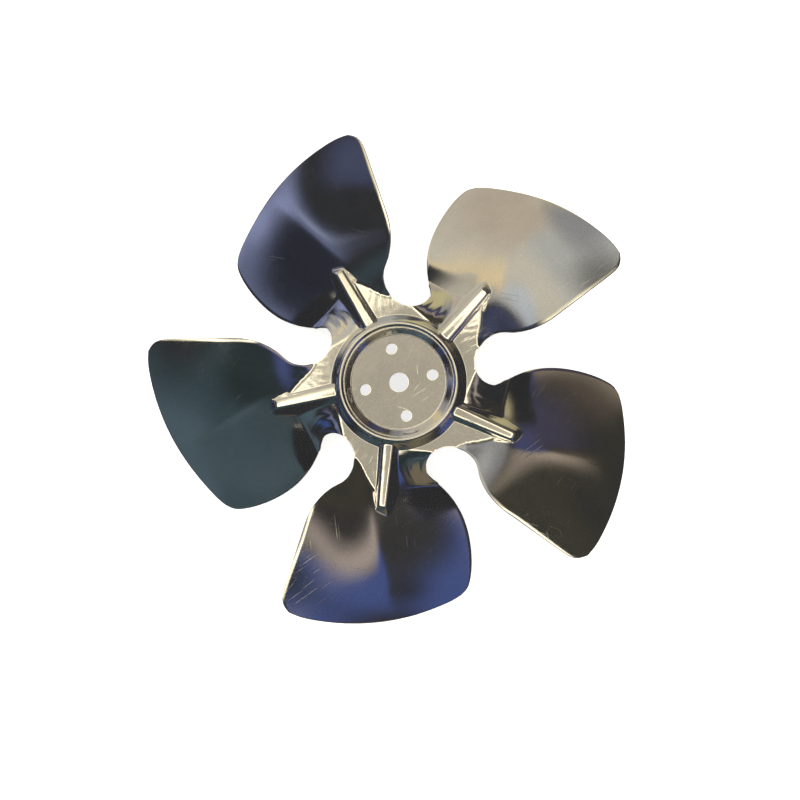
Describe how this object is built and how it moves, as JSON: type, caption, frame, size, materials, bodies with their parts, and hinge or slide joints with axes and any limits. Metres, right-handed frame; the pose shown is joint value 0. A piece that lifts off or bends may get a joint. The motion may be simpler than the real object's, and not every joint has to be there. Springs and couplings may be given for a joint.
{
  "type": "axial fan impeller",
  "caption": "Pressed aluminium axial fan impeller: pitched rounded blades on a ringed hub disc with a centre hole and bolt holes, for a refrigeration or ventilation motor.",
  "frame": {"origin": "centre of mass of the impeller, on the fan axis", "axes": "+Z along the fan axis, out of the face with the raised ring; X and Y in the plane of rotation"},
  "size_m": [0.2513, 0.2509, 0.0531],
  "materials": {
    "aluminium": "bare mill finish, half mirror, with fine grain, hairline scratches and stretch marks at the blade roots"
  },
  "bodies": {
    "root": {"impeller": "aluminium"}
  },
  "joints": []
}
